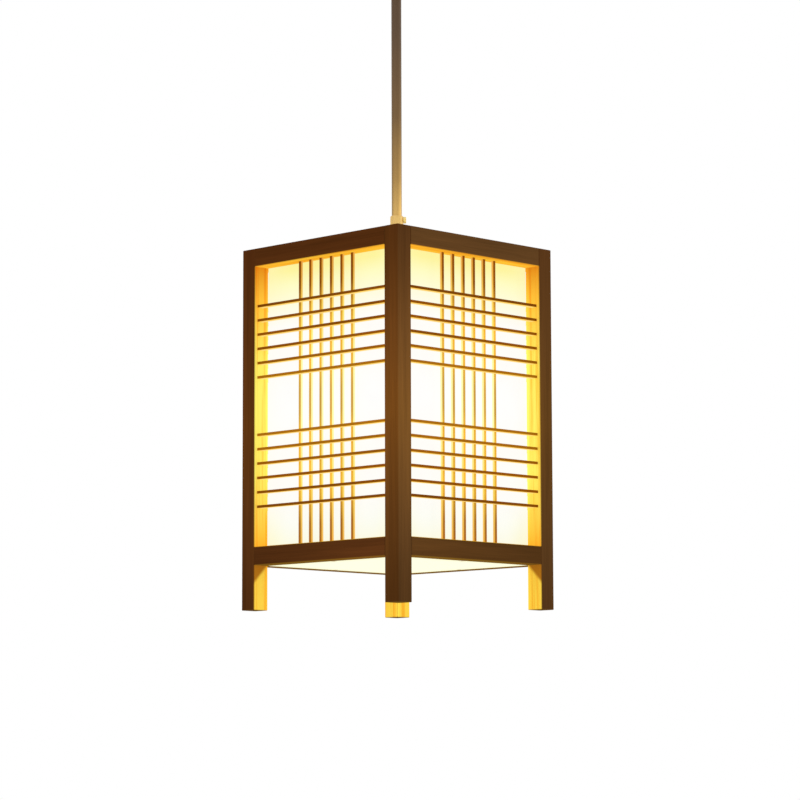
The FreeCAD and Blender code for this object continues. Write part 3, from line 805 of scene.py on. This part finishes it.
def hex_nut(name, node, sizes):
    """A large nut with chamfered ends, where its plain node stands."""
    low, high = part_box(node)
    flats = high.y - low.y
    bore, end = sizes.nut_bore, flats * HEX_END_SHARE
    rings = [level(bore, low.z), level(end, low.z), six_sided(flats, low.z, HEX_SLOPE)]
    rings += [six_sided(flats, high.z, -HEX_SLOPE), level(end, high.z), level(bore, high.z)]
    return smooth(wrapped(name, rings, sizes.steps, closed=True))


def aimed(direction):
    """The turn that brings +Z to a direction."""
    return Vector(direction).to_track_quat("Z", "Y").to_matrix().to_4x4()


class LANTERN_OT_stage(bpy.types.Operator):
    """Makes the floor, the soft lights, the white background and the camera"""

    bl_idname = "lantern.stage"
    bl_label = "Stage"

    def execute(self, context):
        look = context.scene.lantern_stage
        self.make_floor(look)
        self.make_sky(context, look)
        self.make_light("side_light", look.key_place, look.key_size, look.key_power)
        self.make_light("fill_light", look.fill_place, look.fill_size, look.fill_power)
        camera = bpy.data.objects.new("camera", bpy.data.cameras.new("camera"))
        context.scene.collection.objects.link(camera)
        heading, tilt, roll = look.camera_turn
        camera.matrix_world = (
            Matrix.Translation(look.camera_place) @ Matrix.Rotation(heading, 4, "Z")
            @ Matrix.Rotation(tilt, 4, "X") @ Matrix.Rotation(roll, 4, "Z"))
        camera.data.lens = look.lens
        context.scene.camera = camera
        context.scene.view_settings.view_transform = "Standard"
        return {"FINISHED"}

    def make_floor(self, look):
        """A pale disc that keeps the lantern's shadow and fades out at its rim."""
        mesh = bmesh.new()
        bmesh.ops.create_circle(mesh, cap_ends=True, radius=look.floor_radius, segments=96)
        bmesh.ops.translate(mesh, vec=(0, 0, POST_LOW.z - look.floor_drop), verts=mesh.verts)
        floor = linked("floor", mesh)
        finish, s, where = material("floor_paint")
        x, y = s.parts(where)[:2]
        reach = (x * x + y * y).root()
        cloud = s.noise(where, (6, 6, 6), 2)
        paint = s.node("ShaderNodeBsdfDiffuse", {}, {0: s.shade(look.floor_colour, cloud * 0.02 + 1)})
        clear = s.node("ShaderNodeBsdfTransparent", {}, {})
        under = s.node("ShaderNodeNewGeometry", {}, {}, "Backfacing")
        seen_through = reach.between(look.fade_start, look.fade_end).larger(under)
        shown = s.node("ShaderNodeMixShader", {}, {0: seen_through, 1: paint, 2: clear})
        s.node("ShaderNodeOutputMaterial", {}, {"Surface": shown})
        floor.data.materials.append(finish)

    def make_sky(self, context, look):
        """Even light from all round. Direct and mirrored rays see plain white."""
        world = bpy.data.worlds.new("sky")
        world.use_nodes = True
        context.scene.world = world
        s = Shader(world.node_tree)
        path = s.node("ShaderNodeLightPath", {}, {}, "Is Camera Ray")
        rays = path.socket.node.outputs
        seen = path.larger(Signal(s, rays["Is Glossy Ray"])).larger(Signal(s, rays["Is Transmission Ray"]))
        soft = s.node("ShaderNodeBackground", {}, {"Color": WHITE, "Strength": look.sky_level})
        white = s.node("ShaderNodeBackground", {}, {"Color": WHITE, "Strength": 1})
        shown = s.node("ShaderNodeMixShader", {}, {0: seen, 1: soft, 2: white})
        s.node("ShaderNodeOutputWorld", {}, {"Surface": shown})

    def make_light(self, name, place, size, power):
        lamp = bpy.data.lights.new(name, "AREA")
        lamp.size = size
        lamp.energy = power
        made = bpy.data.objects.new(name, lamp)
        aim = Vector((0, 0, MIDDLE)) - Vector(place)
        made.matrix_world = Matrix.Translation(place) @ aim.to_track_quat("-Z", "Y").to_matrix().to_4x4()
        bpy.context.scene.collection.objects.link(made)


class LANTERN_OT_frame(bpy.types.Operator):
    """Stains the posts, rails and crossbar, paints light and shade on their outer faces and lamplight on
    their inner faces
    """

    bl_idname = "lantern.frame"
    bl_label = "Wooden frame"

    def execute(self, context):
        look = context.scene.lantern_wood
        # The posts' outer-face stain with painted light, lighter towards half height.
        outer_colours = (
            (0, look.stain_and_glow_foot), (0.18, look.stain_and_glow_low), (0.5, look.stain_and_glow_middle),
            (0.72, look.stain_and_glow_upper), (1, look.stain_and_glow_top))
        lits = (
            (0.1, look.lit_foot), (0.17, look.lit_low), (0.37, look.lit_middle),
            (0.68, look.lit_middle), (0.85, look.lit_high), (0.96, look.lit_top))
        dress(frame_wood("post_wood", 2, look, outer_colours, lits, True), *POSTS)
        outer_colours, lits = ((0.15, look.rail_low), (0.97, look.rail_top)), ((0, look.rail_lit),)
        rails = [frame_wood("rail_wood_" + "xy"[axis], axis, look, outer_colours, lits, False) for axis in (0, 1)]
        for k, face in enumerate(FACES):
            dress(rails[k % 2], "top_rail_" + face, "bottom_rail_" + face)
        dress(crossbar_wood(look), "crossbar")
        return {"FINISHED"}


class LANTERN_OT_lattice(bpy.types.Operator):
    """Stains the cross bars and upright bars and paints the lamp's light on them"""

    bl_idname = "lantern.lattice"
    bl_label = "Lattice"

    def execute(self, context):
        look = context.scene.lantern_wood
        # Painted light: cross bar fronts lighter towards half height.
        fronts = (
            (0.08, look.bar_outer), (0.25, look.bar_stain_and_glow), (0.38, look.bar_inner), (0.6, look.bar_inner),
            (0.7, look.bar_stain_and_glow), (0.76, look.bar_stain_and_glow), (0.87, look.bar_outer))
        edges = ((0, look.bar_lit),)
        bars = [
            bar_wood("cross_bar_wood_" + "xy"[axis], "cross_bars_front", axis, look, fronts, edges)
            for axis in (0, 1)]
        # Painted light: upright fronts golden where the lit sheets glow behind them.
        fronts = (
            (0.07, look.upright_low), (0.2, look.upright_gold), (0.39, look.upright_gold),
            (0.46, look.upright_amber), (0.54, look.upright_amber), (0.62, look.upright_gold),
            (0.76, look.upright_gold), (0.91, look.upright_stain))
        edges = (
            (0.05, look.edge_foot), (0.2, look.edge_outer), (0.4, look.edge_middle),
            (0.64, look.edge_middle), (0.8, look.edge_outer), (0.95, look.edge_top))
        uprights = bar_wood("upright_bar_wood", "upright_bars_front", 2, look, fronts, edges)
        for k, face in enumerate(FACES):
            dress(bars[k % 2], "cross_bars_" + face)
            dress(uprights, "upright_bars_" + face)
        return {"FINISHED"}


class LANTERN_OT_diffuser(bpy.types.Operator):
    """Lights the sheets and the bottom panel, and makes the panel's screws"""

    bl_idname = "lantern.diffuser"
    bl_label = "Diffuser"

    def execute(self, context):
        scene = context.scene
        dress(glowing_sheet(scene.lantern_glow), *("diffuser_" + face for face in FACES))
        dress(glowing_panel(scene.lantern_glow), "bottom_panel")
        dress(plain_wood(scene.lantern_wood), "panel_cleats")
        sizes = scene.lantern_sizes
        low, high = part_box("panel_screws")
        shank, head = sizes.panel_shank, sizes.panel_head
        core, tip = shank * CORE_SHARE, high.z - low.z
        rings = [level(head, 0), level(shank, head - shank), level(core, head - shank)]
        rings += [level(core, tip - shank), level(shank * POINT_SHARE, tip)]
        long, wide = head * CROSS_LENGTH_SHARE, sizes.slot_width * CROSS_WIDTH_SHARE
        deep = sizes.slot_depth
        arms = [(size, (0, 0, 0)) for size in ((long, wide, deep), (wide, long, deep))]
        screws = []
        for k in range(4):
            turn = Matrix.Rotation(math.pi / 2 * k, 4, "Z")
            made = smooth(carved(wrapped("screw", rings, sizes.steps), *arms))
            screws.append(placed(made, turn, turn @ Vector((0, low.y + head, low.z))))
        brass = metal("panel_screw_brass", scene.lantern_metal.brass, 0.3)
        finished(joined("panel_cross_screws", screws), brass, "pendant", "brass", "panel_screws")
        return {"FINISHED"}


class LANTERN_OT_hub(bpy.types.Operator):
    """Plates the washers and the nipple and makes the locknut"""

    bl_idname = "lantern.hub"
    bl_label = "Hub on the crossbar"

    def execute(self, context):
        zinc = metal("hub_zinc", context.scene.lantern_metal.zinc, 0.32)
        dress(zinc, "threaded_nipple", "hub_washers")
        nut = hex_nut("chamfered_locknut", "hub_locknut", context.scene.lantern_sizes)
        finished(nut, zinc, "pendant", "zinc_steel", "hub_locknut")
        return {"FINISHED"}


class LANTERN_OT_lampholder(bpy.types.Operator):
    """Finishes the lampholder and makes its rolled screw shell and terminal screws"""

    bl_idname = "lantern.lampholder"
    bl_label = "Lampholder"

    def execute(self, context):
        look, sizes = context.scene.lantern_metal, context.scene.lantern_sizes
        dress(moulded("holder_ivory", look.ivory, 0.42), "holder_cap", "holder_skirt")
        dress(moulded("holder_porcelain", look.porcelain, 0.2), "holder_base")
        brass = metal("holder_brass", look.brass, 0.28)
        dress(brass, "centre_contact")
        finished(self.make_shell(sizes), brass, "pendant", "brass", "screw_shell")
        low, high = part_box("holder_terminal_screws")
        radius = (high.y - low.y) / 2
        seat = high.z - sizes.terminal_head
        screws = [
            placed(screw("screw", radius, sizes.terminal_head, seat - low.z, sizes), move=(x, 0, seat))
            for x in (low.x + radius, high.x - radius)]
        slotted = joined("slotted_terminal_screws", screws)
        finished(slotted, brass, "pendant", "brass", "holder_terminal_screws")
        return {"FINISHED"}

    def make_shell(self, sizes):
        """The shell's thread meets the lamp cap's with the same gap at every height."""
        low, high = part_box("screw_shell")
        outer = high.x
        inner = outer - sizes.sheet_metal
        lip = sizes.shell_lip
        turns = (sizes.lamp_depth, sizes.lamp_pitch, low.z + lip, high.z - lip, RINGS_PER_TURN)
        rings = [level(outer, low.z), *thread(outer, *turns), level(outer, high.z)]
        rings += [level(inner, high.z), *thread(inner, *turns)[::-1], level(inner, low.z)]
        return smooth(wrapped("rolled_screw_shell", rings, sizes.steps, closed=True))


class LANTERN_OT_bulb(bpy.types.Operator):
    """Lights the bulb and makes its cap with the rolled thread"""

    bl_idname = "lantern.bulb"
    bl_label = "Bulb"

    def execute(self, context):
        scene = context.scene
        look, sizes = scene.lantern_metal, scene.lantern_sizes
        dress(glowing_bulb(scene.lantern_glow), "bulb_glass")
        dress(clear_glass(), "bulb_stem")
        dress(filament_glow(look), "bulb_filament")
        dress(moulded("black_glass", look.black, 0.15), "bulb_insulator")
        dress(metal("solder", look.zinc, 0.45), "bulb_contact")
        low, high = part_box("bulb_cap")
        radius, wall = high.x, sizes.sheet_metal
        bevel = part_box("bulb_insulator")[1].x + wall
        thread_top = high.z - (radius - bevel)
        root = radius - sizes.lamp_depth - wall
        skirt = low.z + sizes.lamp_skirt
        rings = [level(radius, low.z), level(radius, skirt)]
        turns = (sizes.lamp_depth, sizes.lamp_pitch, skirt + wall, thread_top, RINGS_PER_TURN)
        rings += thread(radius, *turns)
        rings += [level(bevel, high.z), level(bevel - wall, high.z), level(root, thread_top - wall)]
        inner = radius - wall
        rings += [level(root, skirt + wall), level(inner, skirt - wall), level(inner, low.z)]
        cap = smooth(wrapped("rolled_bulb_cap", rings, sizes.steps, closed=True))
        finished(cap, metal("bulb_cap_nickel", look.nickel, 0.3), "bulb", "bulb_cap_metal", "bulb_cap")
        return {"FINISHED"}


class LANTERN_OT_suspension(bpy.types.Operator):
    """Lacquers the rod and its fittings, with lamplight painted on the rod, coupler and set screw, and
    makes the slotted screws and the swivel's nut
    """

    bl_idname = "lantern.suspension"
    bl_label = "Rod, coupler and swivel"

    def execute(self, context):
        look, sizes = context.scene.lantern_metal, context.scene.lantern_sizes
        dress(rod_lacquer(look), "suspension_rod")
        # Painted lamplight on the coupler and its set screw.
        dress(lacquer("coupler_lacquer_painted_lamplight", look.coupler), "rod_coupler")
        dress(lacquer("yoke_lacquer", look.rod_high), "swivel_yoke")
        zinc = metal("swivel_zinc", look.zinc, 0.32)
        dress(zinc, "swivel_stem")
        self.make_set_screw(sizes, lacquer("set_screw_lacquer_painted_lamplight", look.set_screw))
        self.make_pivot_screws(sizes, zinc)
        nut = hex_nut("chamfered_swivel_nut", "swivel_nut", sizes)
        finished(nut, zinc, "swivel", "zinc_steel", "swivel_nut")
        return {"FINISHED"}

    def make_set_screw(self, sizes, finish):
        low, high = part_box("coupler_set_screw")
        radius = (high.z - low.z) / 2
        aim = Vector((1, 1, 0)).normalized()
        seat = (high.x - radius * aim.x) / aim.x - sizes.set_head
        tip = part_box("suspension_rod")[1].x
        made = screw("slotted_set_screw", radius, sizes.set_head, seat - tip, sizes)
        placed(made, aimed(aim), aim * seat + Vector((0, 0, (low.z + high.z) / 2)))
        finished(made, finish, "pendant", "rod_finish", "coupler_set_screw")

    def make_pivot_screws(self, sizes, finish):
        low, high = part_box("pivot_screws")
        radius = (high.z - low.z) / 2
        seat = high.x - sizes.pivot_head
        screws = []
        for side in (-1, 1):
            made = screw("screw", radius, sizes.pivot_head, seat - sizes.pivot_end, sizes)
            screws.append(placed(made, aimed((side, 0, 0)), (side * seat, 0, (low.z + high.z) / 2)))
        finished(joined("slotted_pivot_screws", screws), finish, "pendant", "zinc_steel", "pivot_screws")


class LANTERN_OT_ceiling(bpy.types.Operator):
    """Finishes the canopy and bracket and makes the studs, nuts and screws that they carry"""

    bl_idname = "lantern.ceiling"
    bl_label = "Canopy and bracket"

    def execute(self, context):
        look, sizes = context.scene.lantern_metal, context.scene.lantern_sizes
        bronze = lacquer("canopy_lacquer", look.rod_high)
        zinc = metal("bracket_zinc", look.zinc, 0.36, 0)
        dress(bronze, "canopy")
        dress(zinc, "ceiling_bracket")
        dress(moulded("terminal_nylon", look.ivory, 0.5), "terminal_block")
        self.make_studs(sizes, metal("stud_zinc", look.zinc, 0.3))
        self.make_cap_nuts(sizes, bronze)
        self.make_ground_screw(sizes, metal("ground_green", look.green, 0.4))
        self.make_block_screws(sizes, zinc)
        return {"FINISHED"}

    def make_studs(self, sizes, finish):
        low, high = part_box("canopy_studs")
        radius = high.y
        bevel = radius / 4
        turns = (sizes.stud_depth, sizes.stud_pitch, low.z + bevel, high.z - bevel, RINGS_PER_TURN // 2)
        rings = [level(radius - bevel, low.z), *thread(radius, *turns), level(radius - bevel, high.z)]
        studs = [
            placed(wrapped("stud", rings, sizes.steps // 2), move=(x, 0, 0))
            for x in (low.x + radius, high.x - radius)]
        made = smooth(joined("threaded_canopy_studs", studs))
        finished(made, finish, "ceiling", "zinc_steel", "canopy_studs")

    def make_cap_nuts(self, sizes, finish):
        """Each nut has a blind bore for its stud, a chamfered hexagon and a dome below it."""
        low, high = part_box("canopy_cap_nuts")
        flats = high.y - low.y
        dome_z = high.z - sizes.cap_nut_hexagon
        dome = dome_z - low.z
        stud_low, stud_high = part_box("canopy_studs")
        bore = sizes.cap_nut_bore
        rings = [level(bore, stud_low.z), level(bore, high.z), level(flats * HEX_END_SHARE, high.z)]
        rings += [six_sided(flats, high.z, -HEX_SLOPE), six_sided(flats, dome_z, HEX_SLOPE)]
        for i in range(DOME_RINGS):
            turn = math.pi / 2 * i / (DOME_RINGS - 0.5)
            rings.append(level(dome * math.cos(turn), dome_z - dome * math.sin(turn)))
        middle = stud_high.x - stud_high.y
        nuts = [placed(wrapped("nut", rings, sizes.steps), move=(side * middle, 0, 0)) for side in (-1, 1)]
        finished(smooth(joined("domed_cap_nuts", nuts)), finish, "ceiling", "rod_finish", "canopy_cap_nuts")

    def make_ground_screw(self, sizes, finish):
        low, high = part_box("ground_screw")
        radius, head = (high.y - low.y) / 2, sizes.terminal_head
        seat = high.z - head
        made = screw("slotted_ground_screw", radius, head, seat - low.z, sizes, True)
        placed(made, move=((low.x + high.x) / 2, 0, seat))
        finished(made, finish, "ceiling", "ground_green", "ground_screw")

    def make_block_screws(self, sizes, finish):
        low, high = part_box("terminal_block_screws")
        radius = (high.x - low.x) / 2
        head = sizes.slot_depth * 2
        seat = high.z - head
        screws = [
            placed(screw("screw", radius, head, seat - low.z, sizes), move=(low.x + radius, y, seat))
            for y in (low.y + radius, 0, high.y - radius)]
        slotted = joined("slotted_block_screws", screws)
        finished(slotted, finish, "ceiling", "zinc_steel", "terminal_block_screws")


PROPERTIES = {
    "lantern_wood": WoodLook,
    "lantern_glow": GlowLook,
    "lantern_metal": MetalLook,
    "lantern_sizes": DetailSizes,
    "lantern_stage": StageLook,
}
OPERATORS = (
    LANTERN_OT_stage, LANTERN_OT_frame, LANTERN_OT_lattice, LANTERN_OT_diffuser, LANTERN_OT_hub,
    LANTERN_OT_lampholder, LANTERN_OT_bulb, LANTERN_OT_suspension, LANTERN_OT_ceiling,
)


class LANTERN_PT_panel(bpy.types.Panel):
    """Lists the lantern's pieces and settings"""

    bl_label = "Lantern"
    bl_idname = "LANTERN_PT_panel"
    bl_space_type = "VIEW_3D"
    bl_region_type = "UI"
    bl_category = "Lantern"

    def draw(self, context):
        for operator in OPERATORS:
            self.layout.operator(operator.bl_idname)
        for name, group in PROPERTIES.items():
            box = self.layout.box()
            settings = getattr(context.scene, name)
            for setting in group.__annotations__:
                box.prop(settings, setting)


CLASSES = (*PROPERTIES.values(), *OPERATORS, LANTERN_PT_panel)


def register():
    for group in CLASSES:
        bpy.utils.register_class(group)
    for name, group in PROPERTIES.items():
        setattr(bpy.types.Scene, name, PointerProperty(type=group))


def unregister():
    for name in PROPERTIES:
        delattr(bpy.types.Scene, name)
    for group in reversed(CLASSES):
        bpy.utils.unregister_class(group)


def main():
    register()
    bpy.ops.lantern.stage()
    bpy.ops.lantern.frame()
    bpy.ops.lantern.lattice()
    bpy.ops.lantern.diffuser()
    bpy.ops.lantern.hub()
    bpy.ops.lantern.lampholder()
    bpy.ops.lantern.bulb()
    bpy.ops.lantern.suspension()
    bpy.ops.lantern.ceiling()


if __name__ == "__main__":
    main()
